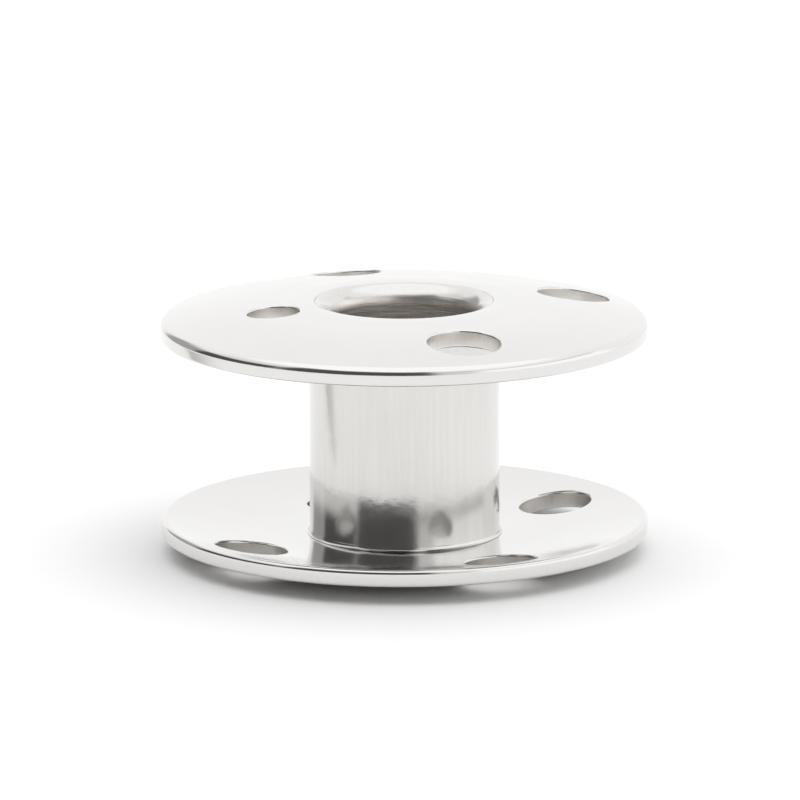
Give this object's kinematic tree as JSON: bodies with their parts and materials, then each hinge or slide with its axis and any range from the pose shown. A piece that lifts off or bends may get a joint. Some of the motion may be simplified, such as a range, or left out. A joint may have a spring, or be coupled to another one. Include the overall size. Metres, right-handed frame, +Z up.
{
  "type": "sewing machine bobbin",
  "caption": "Round metal thread bobbin: dished, pierced sheet flanges staked onto a hub tube with a plain bore that fits a bobbin case and a winder spindle.",
  "frame": {"origin": "on the bore's axis, level with the raised ring round the lower mouth, on which the bobbin stands", "axes": "+Z up along the bore, from the lower flange to the upper one; +X to the right when the bobbin is seen from the front, along +Y"},
  "size_m": [0.0206, 0.0206, 0.0108],
  "materials": {
    "bright_nickel": "polished",
    "drawn_nickel": "gloss"
  },
  "bodies": {
    "root": {"upper_flange": "bright_nickel", "lower_flange": "bright_nickel", "hub_tube": "drawn_nickel"}
  },
  "joints": []
}
